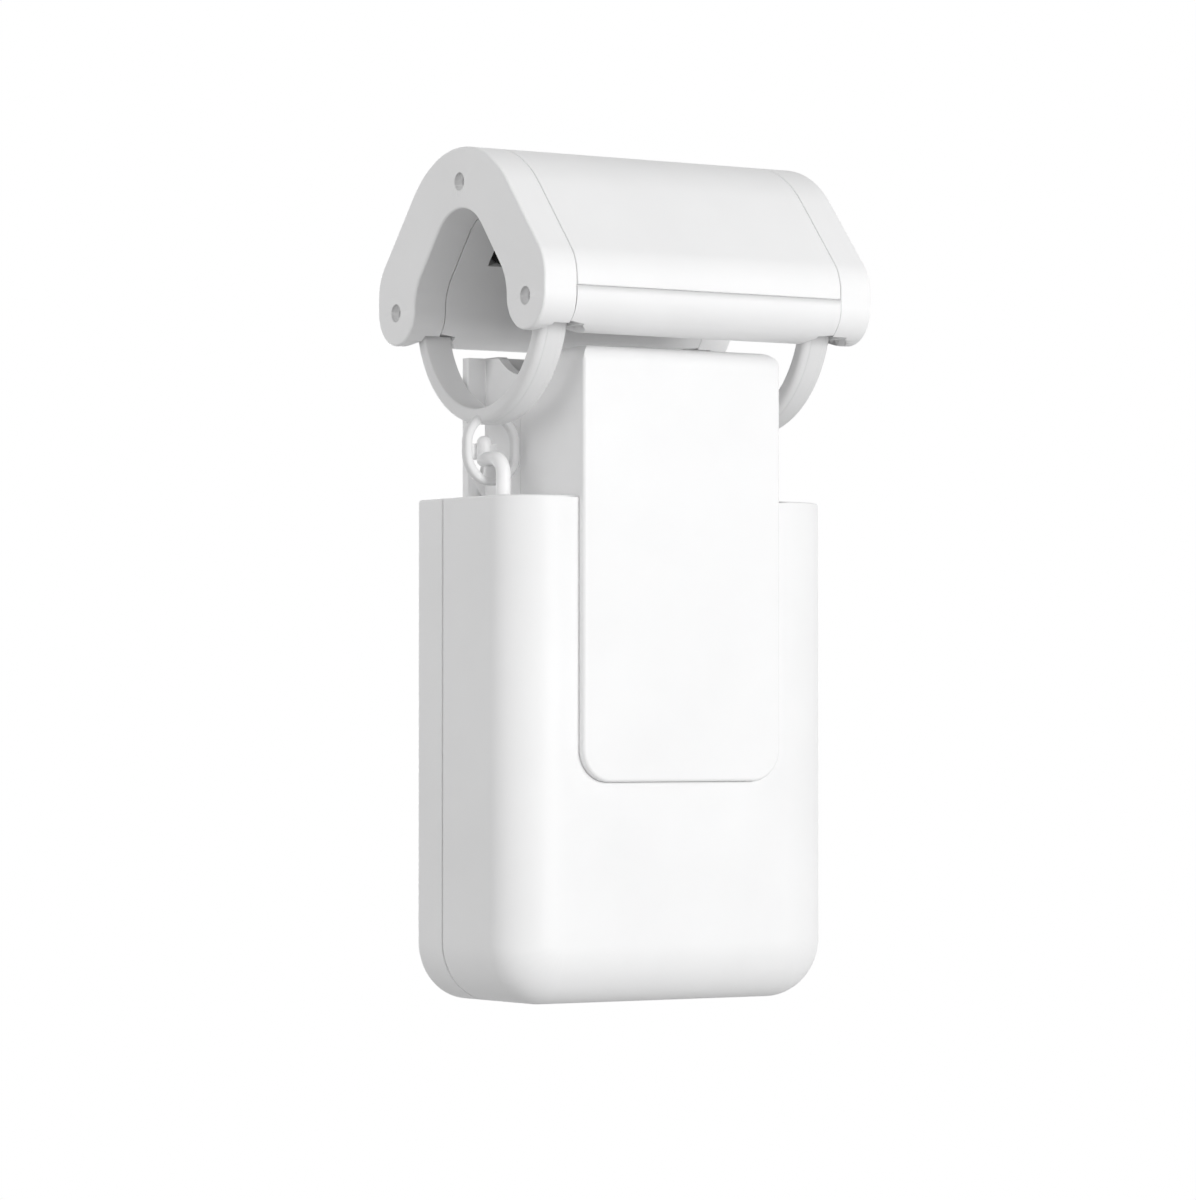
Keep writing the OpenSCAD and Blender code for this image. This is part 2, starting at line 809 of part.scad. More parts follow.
// Block with the body's rounded front edge, rear edge and bottom corners, between y0 and y1
module body_form(half, y0, y1, z0, z1, r_front, r_back, r_corner) {
    top = z0 + r_corner;
    mid = half - r_corner;
    translate([0, 0, top])
        linear_extrude(z1 - top)
            outline([
                [-half + r_front, y0 + r_front, r_front], [half - r_front, y0 + r_front, r_front],
                [half - r_back, y1 - r_back, r_back], [-half + r_back, y1 - r_back, r_back]
            ]);
    along_x(-mid, mid)
        outline([
            [y0 + r_front, z0 + r_front, r_front], [y1 - r_back, z0 + r_back, r_back],
            [y1, top, 0], [y0, top, 0]
        ]);
    both_sides() translate([mid, 0, top])
        rotate([-90, 0, 0])
            rotate_extrude(angle = 90)
                intersection() {
                    outline([
                        [r_corner - r_front, y0 + r_front, r_front],
                        [r_corner - r_back, y1 - r_back, r_back],
                        [0, y1, 0], [0, y0, 0]
                    ]);
                    translate([0, y0]) square([r_corner, y1 - y0]);
                }
}

module neck_notch() {
    half = panel_half + seam_gap;
    foot = panel_foot_r + seam_gap;
    z0 = panel_z0 - seam_gap;
    outline([
        [-half + foot, z0 + foot, foot], [half - foot, z0 + foot, foot],
        [half, 0, 0], [-half, 0, 0]
    ]);
}

module front_shell() {
    seam = body_seam - seat_gap / 2;
    color("white") difference() {
        union() {
            difference() {
                body_form(body_half, -body_front, seam, body_z0, body_z1, front_r, 0, corner_r);
                body_form(body_half - wall, -body_front + wall, seam + cut, body_z0 + wall, roof_z,
                    front_r - wall, 0, corner_r - wall);
            }
            both_sides() {
                bar_y(top_boss_x, top_boss_z, boss_front, seam, boss_r);
                bar_y(foot_boss_x, foot_boss_z, -body_front + wall / 2, seam, boss_r);
            }
        }
        along_y(panel_y, seam + cut) neck_notch();
        for (p = SCREW_PLACES)
            bar_y(p[0], p[1], boss_front + cut, seam + cut, shell_screw_r + seat_gap / 4);
        both_sides() translate([hook_x, hook_y, roof_z - cut])
            cylinder(h = wall + 2 * cut, r = hook_r + swing_gap);
    }
}

module rear_shell() {
    seam = body_seam + seat_gap / 2;
    inside = body_rear - wall;
    notch_half = panel_half + seam_gap;
    head_y = body_rear - shell_head_h - seat_gap;
    color("white") difference() {
        union() {
            difference() {
                body_form(body_half, seam, body_rear, body_z0, body_z1, 0, rear_r, corner_r);
                body_form(body_half - wall, seam - cut, inside, body_z0 + wall, roof_z,
                    0, 0, corner_r - wall);
            }
            for (p = SCREW_PLACES)
                bar_y(p[0], p[1], seam, inside + wall / 2, boss_r);
            both_sides() for (z = [board_z1 - standoff_in, board_z0 + standoff_in])
                bar_y(standoff_x, z, board_y1, inside + wall / 2, standoff_r);
        }
        box(-notch_half, notch_half, seam - cut, inside, roof_z - cut, body_z1 + cut);
        for (p = SCREW_PLACES) {
            bar_y(p[0], p[1], seam - cut, body_rear + cut, shell_screw_r + seat_gap);
            bar_y(p[0], p[1], head_y, body_rear + cut, shell_head_r + seat_gap);
        }
        translate([0, socket_y, body_z0])
            linear_extrude(4 * wall, center = true)
                socket_outline(seat_gap);
        translate([button_x, socket_y, body_z0 - cut])
            cylinder(h = wall + 2 * cut, r = button_r + swing_gap / 2);
        translate([-button_x, socket_y, body_z0 - cut])
            cylinder(h = wall + 2 * cut, r = light_r + seat_gap / 2);
    }
}

// Outer form of the panel and the front half of the neck
module panel_form(y1) {
    top_x = panel_half - panel_top_r;
    top_z = panel_z1 - panel_top_r;
    intersection() {
        body_form(panel_half, panel_y, y1, panel_z0, panel_z1, panel_edge_r, 0, panel_foot_r);
        along_y(panel_y - cut, y1 + cut)
            outline([
                [-panel_half, panel_z0, 0], [panel_half, panel_z0, 0],
                [top_x, top_z, panel_top_r], [-top_x, top_z, panel_top_r]
            ]);
        along_x(-panel_w, panel_w)
            outline([
                [panel_y, panel_z0, 0], [y1, panel_z0, 0], [y1, panel_z1, 0],
                [panel_y + panel_top_r, panel_z1 - panel_top_r, panel_top_r]
            ]);
    }
}

module rod_room() bar_x(0, 0, -saddle_l, saddle_l, rod_r + rod_clear);

module front_panel() {
    y1 = neck_seam - seat_gap / 2;
    lip_y = -rod_r - rod_clear;
    color("white") difference() {
        union() {
            difference() {
                panel_form(y1);
                box(-panel_w, panel_w, panel_back, y1 + cut, panel_z0 - cut, neck_z0);
                box(-neck_in, neck_in, panel_back, y1 + cut, neck_z0 - cut, panel_z1 - neck_wall);
                box(-neck_in, neck_in, lip_y, y1 + cut, neck_z0, panel_z1 + cut);
                rod_room();
            }
            bar_y(0, wheel_z, panel_back - cut, bush_y1, bush_r + neck_wall);
        }
        bar_y(0, wheel_z, bush_y1 - bush_l, bush_y1 + cut, bush_r + seat_gap / 4);
    }
}

module neck_rear_cover() {
    y0 = neck_seam + seat_gap / 2;
    flange_y = neck_back - flange_t;
    frame_half = neck_in - seat_gap;
    color("white") difference() {
        union() {
            box(-panel_half, panel_half, y0, neck_back, neck_z0, rear_top_z);
            box(-panel_half, panel_half, flange_y, neck_back, body_z1 - tongue_l, rear_top_z);
            box(-flange_half, flange_half, flange_y, neck_back, body_z1 + seat_gap, rear_top_z);
            box(-frame_half, frame_half, frame_front, frame_back, bracket_z0, neck_z0 + cut);
        }
        box(-neck_in, neck_in, y0 - cut, frame_front, neck_z0 - cut, rear_top_z + cut);
        box(-body_w, body_w, frame_back, body_rear + seat_gap / 2, bracket_z0 - cut, body_z1 + seat_gap);
        both_sides()
            box(panel_half - window_in, flange_half - window_post, flange_y - window_in, neck_back + cut,
                body_z1 + window_rise, body_z1 + window_rise + window_h);
        rod_room();
        bar_y(0, wheel_z, frame_front - cut, neck_back - neck_wall / 2, bush_r + seat_gap / 4);
        bar_y(0, compound_z, frame_front - cut, frame_back + cut, gear_pin_r + seat_gap / 4);
    }
}

module shell_screws() {
    head_y = body_rear - shell_head_h;
    color("silver") for (p = SCREW_PLACES)
        difference() {
            union() {
                bar_y(p[0], p[1], head_y, body_rear - seat_gap, shell_head_r);
                bar_y(p[0], p[1], head_y - shell_screw_l, head_y, shell_screw_r);
            }
            bar_y(p[0], p[1], head_y + shell_head_h / 2, body_rear + cut, shell_screw_r);
        }
}

// Drive wheel and gears

module wheel_tyre() {
    color("black") turn_y(wheel_z) difference() {
        translate([hub_r + seat_gap / 5, -wheel_half]) square([wheel_r, wheel_w]);
        translate([-wheel_z, 0]) circle(rod_r + rod_gap);
        translate([-wheel_z, -wheel_w]) square([wheel_r, 2 * wheel_w]);
    }
}

module wheel_hub() {
    web_holes = 6;
    web_t = 3;
    web_margin = 0.4;
    rim_t = 1.6;
    boss = axle_r + hub_boss;
    hole_r = (hub_r - rim_t - boss) / 2 - web_margin;
    color("lightgray") difference() {
        turn_y(wheel_z) {
            translate([axle_r + seat_gap / 5, -wheel_half]) square([boss - axle_r, wheel_w]);
            translate([boss - cut, -web_t / 2]) square([hub_r - boss, web_t]);
            translate([hub_r - rim_t, -wheel_half]) square([rim_t, wheel_w]);
        }
        for (i = [0 : web_holes - 1])
            translate([0, 0, wheel_z])
                rotate([0, i * 360 / web_holes, 0])
                    bar_y((boss + hub_r - rim_t) / 2, 0, -web_t, web_t, hole_r);
    }
}

module wheel_axle() {
    color("silver") bar_y(0, wheel_z, bush_y1 - bush_l + seat_gap, bush_back, axle_r);
}

module axle_bushes() {
    color("goldenrod") for (y = [[bush_y1 - bush_l, bush_y1], [frame_front, bush_back]])
        difference() {
            bar_y(0, wheel_z, y[0], y[1], bush_r);
            bar_y(0, wheel_z, y[0] - cut, y[1] + cut, axle_r + run_gap);
        }
}

// Half the angle of an involute tooth at radius r
function involute(angle) = tan(angle) * 180 / PI - angle;
function tooth_half(r, pitch_r, teeth) =
    let(base_r = pitch_r * cos(pressure))
    90 / teeth - backlash / (4 * pitch_r) * 180 / PI
        + involute(pressure) - involute(r > base_r ? acos(base_r / r) : 0);

// Gear outline with one tooth's middle at angle first
module gear_outline(module_size, teeth, first) {
    pitch_r = module_size * teeth / 2;
    root_r = pitch_r - dedendum * module_size;
    tip_r = pitch_r + addendum * module_size;
    flank = [root_r, max(root_r, pitch_r * cos(pressure)), pitch_r, tip_r];
    polygon([
        for (i = [0 : teeth - 1], side = [-1, 1], k = [0 : len(flank) - 1])
            let(r = side < 0 ? flank[k] : flank[len(flank) - 1 - k])
            let(a = first + i * 360 / teeth + side * tooth_half(r, pitch_r, teeth))
            r * [cos(a), sin(a)]
    ]);
}

module gear(z, y0, y1, module_size, teeth, first) {
    along_y(y0, y1) translate([0, z]) gear_outline(module_size, teeth, first);
}

module wheel_gear() {
    color("beige") difference() {
        union() {
            gear(wheel_z, wheel_gear_y, wheel_gear_y + wheel_gear_t, wheel_module, wheel_teeth, -90);
            bar_y(0, wheel_z, wheel_half + seat_gap / 5, wheel_gear_y, axle_r + hub_boss);
        }
        bar_y(0, wheel_z, wheel_half - cut, frame_front, axle_r + seat_gap / 5);
    }
}

module compound_gear() {
    first = 90 - 180 / small_teeth;
    color("beige") difference() {
        union() {
            gear(compound_z, small_y0, large_y0 + cut / 2, wheel_module, small_teeth, first);
            gear(compound_z, large_y0, large_y1, motor_module, large_teeth, -90);
        }
        bar_y(0, compound_z, small_y0 - cut, large_y1 + cut, gear_pin_r + run_gap);
    }
}

module compound_pin() {
    color("silver") {
        bar_y(0, compound_z, small_y0, frame_back, gear_pin_r);
        bar_y(0, compound_z, large_y1 + stage_gap, frame_front, gear_pin_r + pin_collar);
    }
}

module motor_pinion() {
    first = 90 - 180 / pinion_teeth;
    color("goldenrod") {
        gear(motor_z, large_y0 - pinion_gap, large_y1 + pinion_gap, motor_module, pinion_teeth, first);
        bar_y(0, motor_z, motor_y1 - motor_boss_h, large_y0, motor_shaft_d / 2);
    }
}

module gear_motor() {
    cap_h = 1;
    color("silver") difference() {
        union() {
            bar_y(0, motor_z, motor_y0, motor_y1, motor_r);
            bar_y(0, motor_z, motor_y0 - cap_h, motor_y0, motor_r / 3);
            bar_y(0, motor_z, motor_y1, motor_y1 + motor_boss_h, motor_boss_r);
        }
        bar_y(0, motor_z, motor_y1 - motor_boss_h - seat_gap, large_y0, motor_shaft_d / 2 + run_gap);
    }
}

module motor_bracket() {
    y0 = motor_y1 + seat_gap / 2;
    half = bracket_half - bracket_r;
    low = bracket_z0 + bracket_r;
    high = bracket_z1 - bracket_r;
    color("silver") difference() {
        union() {
            along_y(y0, y0 + bracket_t)
                outline([
                    [-half, low, bracket_r], [half, low, bracket_r],
                    [half, high, bracket_r], [-half, high, bracket_r]
                ]);
            both_sides() for (z = [low, high])
                bar_y(bracket_half - post_in, z, y0, frame_front - seat_gap / 2, post_r);
        }
        bar_y(0, motor_z, y0 - cut, y0 + bracket_t + cut, motor_boss_r + seat_gap);
    }
}

// Battery and electronics

module battery_cells() {
    tip_h = 1;
    color("steelblue") both_sides() translate([cell_x, cell_y, cell_z0]) {
        cylinder(h = cell_l - tip_h, r = cell_r);
        cylinder(h = cell_l, r = cell_r / 3);
    }
}

// Two half-round troughs joined by a web under the motor
module battery_tray() {
    web_gap = 2;
    web_z1 = motor_z - motor_r - web_gap;
    web_z0 = foot_boss_z + boss_r + web_gap;
    inset = wall + tray_gap;
    color("dimgray") {
        intersection() {
            both_sides() translate([cell_x, cell_y, 0]) difference() {
                translate([0, 0, tray_z0])
                    cylinder(h = tray_z1 - tray_z0, r = tray_r);
                translate([0, 0, tray_z0 + tray_wall])
                    cylinder(h = tray_z1 - tray_z0 - 2 * tray_wall, r = cell_r + tray_gap);
                box(-2 * tray_r, 2 * tray_r, 0, 2 * tray_r, tray_z0 - cut, tray_z1 + cut);
            }
            body_form(body_half - inset, -body_front + inset, body_seam, body_z0 + inset, roof_z,
                front_r - inset, 0, corner_r - inset);
        }
        box(-cell_x, cell_x, cell_y - tray_r, cell_y - tray_r + tray_wall, web_z0, web_z1);
    }
}

module circuit_board() {
    tab_z = body_z0 + wall + seat_gap;
    color("seagreen") difference() {
        union() {
            box(-board_w / 2, board_w / 2, board_y0, board_y1 - seat_gap / 2, board_z0, board_z1);
            box(-board_tab, board_tab, board_y0, board_y1 - seat_gap / 2, tab_z, board_z0 + cut);
        }
        both_sides() for (z = [board_z1 - standoff_in, board_z0 + standoff_in])
            bar_y(standoff_x, z, board_y0 - cut, board_y1 + cut, standoff_hole_r);
    }
}

module radio_module() {
    color("silver")
        translate([-can_w / 2, board_y0 - can_t, board_z1 - can_h - can_drop])
            cube([can_w, can_t, can_h]);
}

module socket_outline(grow) {
    outline([for (end = [-1, 1]) [end * (socket_w - socket_t) / 2, 0, socket_t / 2 + grow]]);
}

module usb_socket() {
    shell_t = 0.35;
    back_t = 1;
    tongue_w = 6;
    tongue_h = 0.7;
    tongue_z = 1;
    color("silver") translate([0, socket_y - seat_gap / 2, body_z0 + seat_gap]) {
        difference() {
            linear_extrude(socket_l) socket_outline(0);
            translate([0, 0, -cut]) linear_extrude(socket_l - back_t + cut) socket_outline(-shell_t);
        }
        box(-tongue_w / 2, tongue_w / 2, -tongue_h / 2, tongue_h / 2, tongue_z, socket_l - back_t / 2);
    }
}

module tact_switch() {
    color("dimgray")
        translate([button_x - switch_w / 2, board_y0 - seat_gap / 2 - switch_t, board_z0])
            cube([switch_w, switch_t, switch_h]);
}

module set_button() {
    flange_z = body_z0 + wall + button_travel / 2;
    color("lightgray") translate([button_x, socket_y, 0]) {
        translate([0, 0, body_z0 + button_sunk])
            cylinder(h = flange_z - body_z0 - button_sunk, r = button_r);
        translate([0, 0, flange_z])
            cylinder(h = button_flange, r = button_r + button_rim);
        translate([0, 0, flange_z])
            cylinder(h = board_z0 - button_travel - seat_gap - flange_z, r = button_stem_r);
    }
}

module light_pipe() {
    color("white", 0.6) translate([-button_x, socket_y, body_z0])
        cylinder(h = board_z0 - body_z0 - seat_gap, r = light_r);
}

saddle_frame();
saddle_cover();
end_cap_left();
end_cap_right();
cap_screws();
roller_axles();
for (i = [0 : 3]) {
    idler_hub(i);
    idler_tyre(i);
}
strap_left();
strap_right();
pull_hook_left();
pull_hook_right();
hook_spring_left();
hook_spring_right();
hook_nuts();
front_shell();
rear_shell();
front_panel();
neck_rear_cover();
shell_screws();
wheel_hub();
wheel_tyre();
wheel_axle();
wheel_gear();
axle_bushes();
compound_gear();
compound_pin();
motor_pinion();
gear_motor();
motor_bracket();
battery_cells();
battery_tray();
circuit_board();
radio_module();
usb_socket();
tact_switch();
set_button();
light_pipe();
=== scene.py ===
import bpy
import bmesh
import json
import math
from mathutils import Matrix, Vector


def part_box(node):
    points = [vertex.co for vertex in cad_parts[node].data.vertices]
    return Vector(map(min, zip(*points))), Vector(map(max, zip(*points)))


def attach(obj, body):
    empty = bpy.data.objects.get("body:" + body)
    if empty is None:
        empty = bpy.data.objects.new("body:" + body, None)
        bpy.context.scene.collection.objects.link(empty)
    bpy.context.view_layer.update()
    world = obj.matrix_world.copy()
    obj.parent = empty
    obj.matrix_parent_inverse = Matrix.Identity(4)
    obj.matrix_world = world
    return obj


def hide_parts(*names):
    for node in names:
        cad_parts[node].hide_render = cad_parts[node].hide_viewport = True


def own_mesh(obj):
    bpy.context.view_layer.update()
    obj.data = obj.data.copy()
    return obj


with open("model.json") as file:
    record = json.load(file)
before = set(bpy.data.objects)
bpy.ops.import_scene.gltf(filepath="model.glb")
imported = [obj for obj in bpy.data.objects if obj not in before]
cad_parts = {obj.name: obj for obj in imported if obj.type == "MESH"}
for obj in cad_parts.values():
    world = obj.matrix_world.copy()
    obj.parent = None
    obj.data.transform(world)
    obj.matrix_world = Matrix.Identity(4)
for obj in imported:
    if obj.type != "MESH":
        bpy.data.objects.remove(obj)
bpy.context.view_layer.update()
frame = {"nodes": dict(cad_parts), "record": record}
nodes = frame["nodes"]
record = frame["record"]
mm = 0.001

scene = bpy.context.scene
scene.view_settings.view_transform = "Standard"


# materials, one function per kind of finish

def newFinish(name):
    material = bpy.data.materials.new(name)
    material.use_nodes = True
    tree = material.node_tree
    shader = tree.nodes["Principled BSDF"]
    coords = tree.nodes.new("ShaderNodeTexCoord")
    return material, tree, shader, coords.outputs["Object"]


def noise(tree, coords, scale, detail=2.0, stretch=(1, 1, 1)):
    mapping = tree.nodes.new("ShaderNodeMapping")
    mapping.inputs["Scale"].default_value = stretch
    tree.links.new(coords, mapping.inputs["Vector"])
    texture = tree.nodes.new("ShaderNodeTexNoise")
    texture.inputs["Scale"].default_value = scale
    texture.inputs["Detail"].default_value = detail
    tree.links.new(mapping.outputs["Vector"], texture.inputs["Vector"])
    return texture.outputs["Fac"]


toneEnds = (0.3, 0.7)  # values of a noise that give the dark and the light tone
roughEnds = (0.25, 0.75)  # and those that give the smoothest and the roughest


def ramp(tree, factor, low, high):
    node = tree.nodes.new("ShaderNodeValToRGB")
    first, last = node.color_ramp.elements
    first.position, last.position = toneEnds
    first.color, last.color = (*low, 1), (*high, 1)
    tree.links.new(factor, node.inputs["Fac"])
    return node.outputs["Color"]


def spread(tree, factor, low, high):
    node = tree.nodes.new("ShaderNodeMapRange")
    node.inputs["From Min"].default_value = roughEnds[0]
    node.inputs["From Max"].default_value = roughEnds[1]
    node.inputs["To Min"].default_value = low
    node.inputs["To Max"].default_value = high
    tree.links.new(factor, node.inputs["Value"])
    return node.outputs["Result"]


def bump(tree, shader, height, depth, strength):
    node = tree.nodes.new("ShaderNodeBump")
    node.inputs["Strength"].default_value = strength
    node.inputs["Distance"].default_value = depth
    tree.links.new(height, node.inputs["Height"])
    tree.links.new(node.outputs["Normal"], shader.inputs["Normal"])


mould = {"flowScale": 45, "flowDetail": 3, "roughSpread": 0.05, "grainStrength": 0.3, "ior": 1.46}


def mouldedPlastic(name, dark, light, rough, grain, depth):
    material, tree, shader, coords = newFinish(name)
    flow = noise(tree, coords, mould["flowScale"], mould["flowDetail"])  # slow drift of tone in a wall
    tree.links.new(ramp(tree, flow, dark, light), shader.inputs["Base Color"])
    texture = noise(tree, coords, grain)
    low, high = rough - mould["roughSpread"], rough + mould["roughSpread"]
    tree.links.new(spread(tree, texture, low, high), shader.inputs["Roughness"])
    bump(tree, shader, texture, depth, mould["grainStrength"])
    shader.inputs["IOR"].default_value = mould["ior"]
    return material


turning = {"detail": 4, "smoother": 0.07, "rougher": 0.1, "lineDepth": 0.00001, "lineStrength": 0.25}


def metal(name, dark, light, rough, stretch, scale):
    material, tree, shader, coords = newFinish(name)
    lines = noise(tree, coords, scale, turning["detail"], stretch)
    tree.links.new(ramp(tree, lines, dark, light), shader.inputs["Base Color"])
    low, high = rough - turning["smoother"], rough + turning["rougher"]
    tree.links.new(spread(tree, lines, low, high), shader.inputs["Roughness"])
    bump(tree, shader, lines, turning["lineDepth"], turning["lineStrength"])
    shader.inputs["Metallic"].default_value = 1.0
    return material


tyreSkin = {"dustScale": 260, "dustDetail": 4, "scale": 2600, "detail": 3, "smooth": 0.62, "rough": 0.85,
            "depth": 0.00003, "strength": 0.5, "specular": 0.35}


def rubber(name, dark, light):
    material, tree, shader, coords = newFinish(name)
    dust = noise(tree, coords, tyreSkin["dustScale"], tyreSkin["dustDetail"])
    tree.links.new(ramp(tree, dust, dark, light), shader.inputs["Base Color"])
    skin = noise(tree, coords, tyreSkin["scale"], tyreSkin["detail"])
    tree.links.new(spread(tree, skin, tyreSkin["smooth"], tyreSkin["rough"]), shader.inputs["Roughness"])
    bump(tree, shader, skin, tyreSkin["depth"], tyreSkin["strength"])
    shader.inputs["Specular IOR Level"].default_value = tyreSkin["specular"]
    return material


finishes = {
    "shell_white": mouldedPlastic("satin white shell", (0.87, 0.87, 0.872), (0.9, 0.9, 0.902),
                                  rough=0.46, grain=2600, depth=0.000012),
    "frame_white": mouldedPlastic("white frame moulding", (0.86, 0.86, 0.863), (0.885, 0.885, 0.888),
                                  rough=0.5, grain=2200, depth=0.000015),
    "rubber_black": rubber("black roller rubber", (0.012, 0.012, 0.012), (0.03, 0.03, 0.031)),
    "dark_plastic": mouldedPlastic("dark roller plastic", (0.03, 0.03, 0.032), (0.05, 0.05, 0.052),
                                   rough=0.42, grain=1800, depth=0.00002),
    "grey_plastic": mouldedPlastic("grey carrier plastic", (0.36, 0.36, 0.37), (0.42, 0.42, 0.43),
                                   rough=0.5, grain=1800, depth=0.00002),
    "gear_plastic": mouldedPlastic("ivory gear plastic", (0.72, 0.70, 0.62), (0.80, 0.78, 0.70),
                                   rough=0.4, grain=1500, depth=0.00001),
    "steel": metal("turned steel", (0.52, 0.52, 0.53), (0.66, 0.66, 0.67),
                   rough=0.3, stretch=(1, 1, 12), scale=900),
    "brass": metal("turned brass", (0.66, 0.48, 0.20), (0.78, 0.60, 0.30),
                   rough=0.28, stretch=(1, 12, 1), scale=900),
    "cell_sleeve": mouldedPlastic("cell sleeve", (0.05, 0.22, 0.42), (0.07, 0.27, 0.48),
                                  rough=0.32, grain=700, depth=0.00001),
    "board_green": mouldedPlastic("board lacquer", (0.01, 0.13, 0.06), (0.02, 0.2, 0.09),
                                  rough=0.35, grain=900, depth=0.00003),
    "clear_plastic": mouldedPlastic("clear light pipe", (0.86, 0.88, 0.9), (0.92, 0.94, 0.95),
                                    rough=0.2, grain=900, depth=0.000005),
}
lightPipe = finishes["clear_plastic"].node_tree.nodes["Principled BSDF"]
lightPipe.inputs["Transmission Weight"].default_value = 0.85

slotOf = {}
for part in record["subparts"]:
    slotOf[part["node"]] = part["material_slot"]
    nodes[part["node"]].material_slots[0].material = finishes[part["material_slot"]]
print("finishes:", len(finishes))


# shells with softened edges, from the frame's own shapes

def bodyOf(name):
    return next(body for body, members in record["behaviour"]["bodies"].items() if name in members)


def addPiece(name, mesh, body, slot, *stoodFor):
    mesh.materials.clear()
    mesh.materials.append(finishes[slot])
    piece = bpy.data.objects.new(name, mesh)
    scene.collection.objects.link(piece)
    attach(piece, body)
    if stoodFor:
        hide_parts(*stoodFor)
    return piece


cleaning = {"merge": 0.002, "flat": 0.4}  # millimetres and degrees


def shapeOf(name):  # in millimetres, where small faces keep their precision
    bm = bmesh.new()
    bm.from_mesh(nodes[name].data)
    bmesh.ops.scale(bm, vec=(1 / mm,) * 3, verts=bm.verts)
    bmesh.ops.remove_doubles(bm, verts=bm.verts, dist=cleaning["merge"])
    bmesh.ops.dissolve_limit(bm, angle_limit=math.radians(cleaning["flat"]), verts=bm.verts, edges=bm.edges)
    return bm


def chains(meshEdges):  # groups of edges that hang together
    left = dict.fromkeys(meshEdges)  # keeps its order, so that each run gives the same
    while left:
        group, queue = [], [next(iter(left))]
        del left[queue[0]]
        while queue:
            edge = queue.pop()
            group.append(edge)
            for vert in edge.verts:
                for other in vert.link_edges:
                    if other in left:
                        del left[other]
                        queue.append(other)
        yield group


def reach(group):
    points = [vert.co for edge in group for vert in edge.verts]
    return max(max(p[k] for p in points) - min(p[k] for p in points) for k in range(3))


rounding = {"near": 0.004, "fold": 32, "steps": 3}  # millimetres and degrees
# how far across a rim has to reach to be rounded
rimReach = {"any": 6.0, "long": 10.0, "whole": 40.0, "unlimited": 500.0, "hole": (1.0, 5.0)}


def roundRims(bm, axis, place, width, smallest=rimReach["any"], largest=rimReach["unlimited"], where=None):
    found = []
    for edge in bm.edges:
        if all(abs(vert.co[axis] - place) < rounding["near"] for vert in edge.verts):
            if edge.is_convex and edge.calc_face_angle(0) > math.radians(rounding["fold"]):
                middle = (edge.verts[0].co + edge.verts[1].co) / 2
                if where is None or where(middle):
                    found.append(edge)
    chosen = [edge for group in chains(found) if smallest < reach(group) < largest for edge in group]
    if chosen:
        bmesh.ops.bevel(bm, geom=chosen, offset=width, offset_type="OFFSET", segments=rounding["steps"],
                        profile=0.5, affect="EDGES", clamp_overlap=False, face_strength_mode="AFFECTED")
    return len(chosen)


# the layer is the one that the weighted normals read their face weights from
evening = {"layer": "__mod_weightednormals_faceweight", "bigFace": 6.0, "squareOn": 0.99999, "heavy": 16384,
           "sharp": 30}


def softShell(name, rims, seam=None, reshape=None):
    bm = shapeOf(name)
    if reshape:
        reshape(bm)
    if seam:  # a narrow shadow gap where two halves meet
        axis, place, shift = seam
        for vert in bm.verts:
            if abs(vert.co[axis] - place) < rounding["near"]:
                vert.co[axis] += shift
    counts = [roundRims(bm, *rim) for rim in rims]
    layers = bm.faces.layers.int
    layer = layers.get(evening["layer"]) or layers.new(evening["layer"])
    for face in bm.faces:
        face.smooth = True
        square = max(map(abs, face.normal)) > evening["squareOn"]
        if face.calc_area() > evening["bigFace"] or square:  # flats keep their own normal
            face[layer] = evening["heavy"]
    bmesh.ops.triangulate(bm, faces=[f for f in bm.faces if len(f.verts) > 4])
    bmesh.ops.scale(bm, vec=(mm,) * 3, verts=bm.verts)
    mesh = bpy.data.meshes.new(name + "_soft")
    bm.to_mesh(mesh)
    bm.free()
    mesh.set_sharp_from_angle(angle=math.radians(evening["sharp"]))
    piece = addPiece(name + "_soft", mesh, bodyOf(name), slotOf[name], name)
    evener = piece.modifiers.new("even normals", "WEIGHTED_NORMAL")
    evener.keep_sharp = True
    evener.use_face_influence = True
    print(" ", name, counts)


def edgeOf(name, axis, side):
    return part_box(name)[side][axis] / mm


capSide = edgeOf("end_cap_right", 0, 1)
capSeam = edgeOf("end_cap_right", 0, 0)
coverSide = edgeOf("saddle_cover", 0, 1)
coverFoot = edgeOf("saddle_cover", 2, 0)
bodySeam = edgeOf("front_shell", 1, 1)
bodyTop = edgeOf("front_shell", 2, 1)
rearSeam = edgeOf("rear_shell", 1, 0)
neckBack = edgeOf("neck_rear_cover", 1, 1)
flangeSide = edgeOf("neck_rear_cover", 0, 1)
edges = {"cap": 0.45, "seam": 0.26, "bodySeam": 0.3, "bodyTop": 0.5, "hookHole": 0.25, "neck": 0.4,
         "gap": 0.16}
capSlot = {"top": 3.0, "inner": 18.3, "outer": 28.8}


def besideSlot(point):  # the strap's slot in the foot of a cap keeps its sharp edge
    return point.z > capSlot["top"] or not capSlot["inner"] < abs(point.y) < capSlot["outer"]


for side, sign in (("left", -1), ("right", 1)):
    softShell("end_cap_" + side, [
        (0, sign * capSide, edges["cap"], rimReach["long"]),
        (0, sign * capSeam, edges["seam"], rimReach["long"], rimReach["unlimited"], besideSlot),
    ])
softShell("saddle_cover", [
    (0, coverSide, edges["seam"]),
    (0, -coverSide, edges["seam"]),
    (2, coverFoot, edges["seam"]),
])

# the front rounds off further across than it is deep
frontEdge = {"deep": 8.7, "corner": 11.0, "share": 1.25, "skin": 0.05, "aside": 0.1}


